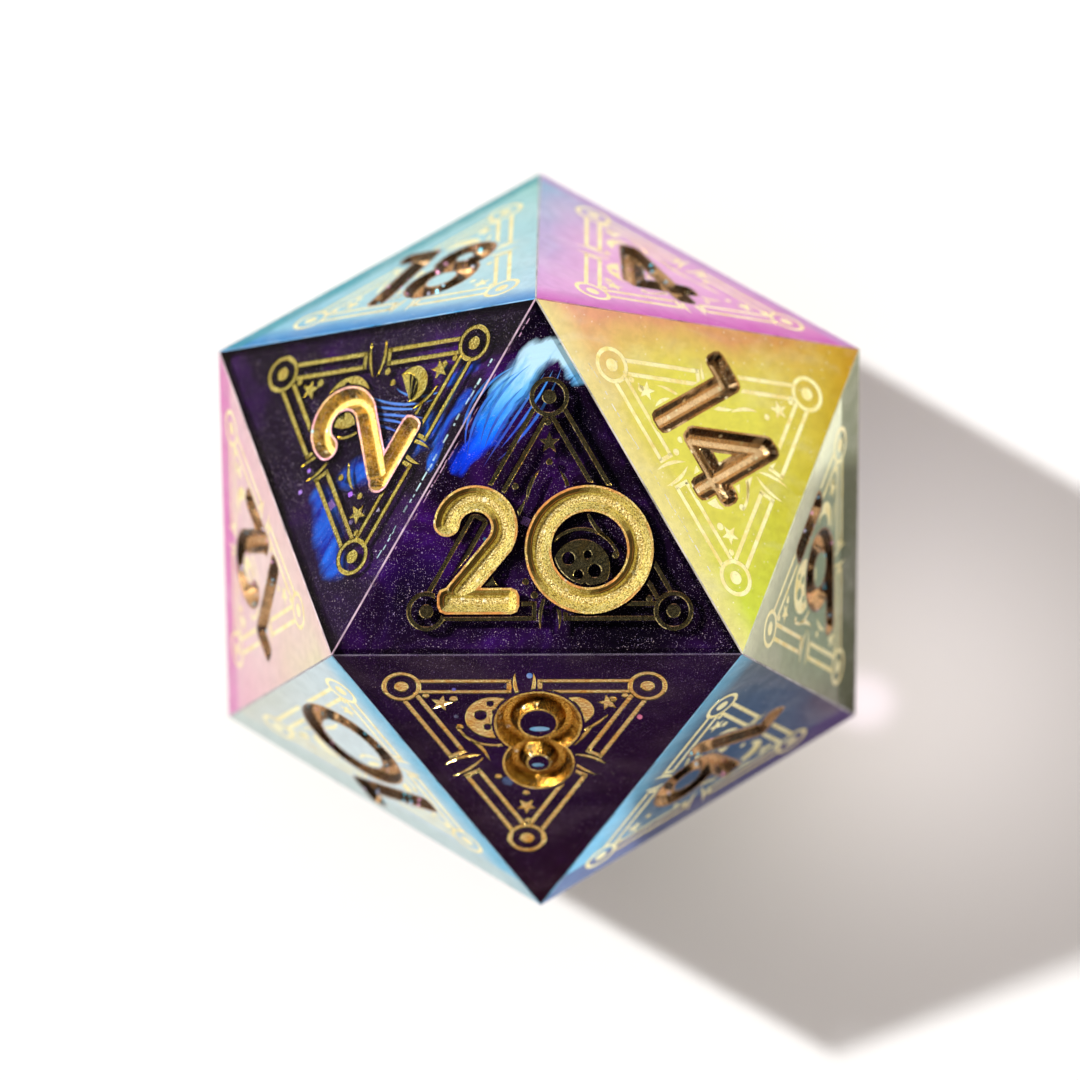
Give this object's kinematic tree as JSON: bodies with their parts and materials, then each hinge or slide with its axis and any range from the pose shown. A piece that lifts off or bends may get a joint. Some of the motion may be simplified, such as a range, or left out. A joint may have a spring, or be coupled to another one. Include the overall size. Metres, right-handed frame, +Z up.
{
  "type": "twenty-sided die",
  "caption": "Icosahedral game die with crisp edges: dark core in clear resin, iridescent coat, gold-lined engraved numerals and gold foil celestial ornament.",
  "frame": {"origin": "centre of the face the die rests on, which carries 1", "axes": "+Z up through the face that carries 20; +Y toward the apex the 20 points at; +X to the right of the 20"},
  "size_m": [0.0214, 0.0246, 0.02],
  "materials": {
    "clear_resin": "polished clear",
    "dark_resin": "polished, deep purple with blue clouds",
    "iridescent_film": "iridescent",
    "pigment": "pearl blue and white strands",
    "flake": "iridescent glitter",
    "gold_paint": "frosted gold",
    "gold_foil": "thin gold foil"
  },
  "bodies": {
    "root": {"clear_body": "clear_resin", "tinted_core": "dark_resin", "iridescent_coat": "iridescent_film", "pigment_swirl": "pigment", "glitter_flakes": "flake", "numeral_01": "gold_paint", "numeral_02": "gold_paint", "numeral_03": "gold_paint", "numeral_04": "gold_paint", "numeral_05": "gold_paint", "numeral_06": "gold_paint", "numeral_07": "gold_paint", "numeral_08": "gold_paint", "numeral_09": "gold_paint", "numeral_10": "gold_paint", "numeral_11": "gold_paint", "numeral_12": "gold_paint", "numeral_13": "gold_paint", "numeral_14": "gold_paint", "numeral_15": "gold_paint", "numeral_16": "gold_paint", "numeral_17": "gold_paint", "numeral_18": "gold_paint", "numeral_19": "gold_paint", "numeral_20": "gold_paint", "ornament_01": "gold_foil", "ornament_02": "gold_foil", "ornament_03": "gold_foil", "ornament_04": "gold_foil", "ornament_05": "gold_foil", "ornament_06": "gold_foil", "ornament_07": "gold_foil", "ornament_08": "gold_foil", "ornament_09": "gold_foil", "ornament_10": "gold_foil", "ornament_11": "gold_foil", "ornament_12": "gold_foil", "ornament_13": "gold_foil", "ornament_14": "gold_foil", "ornament_15": "gold_foil", "ornament_16": "gold_foil", "ornament_17": "gold_foil", "ornament_18": "gold_foil", "ornament_19": "gold_foil", "ornament_20": "gold_foil"}
  },
  "joints": []
}
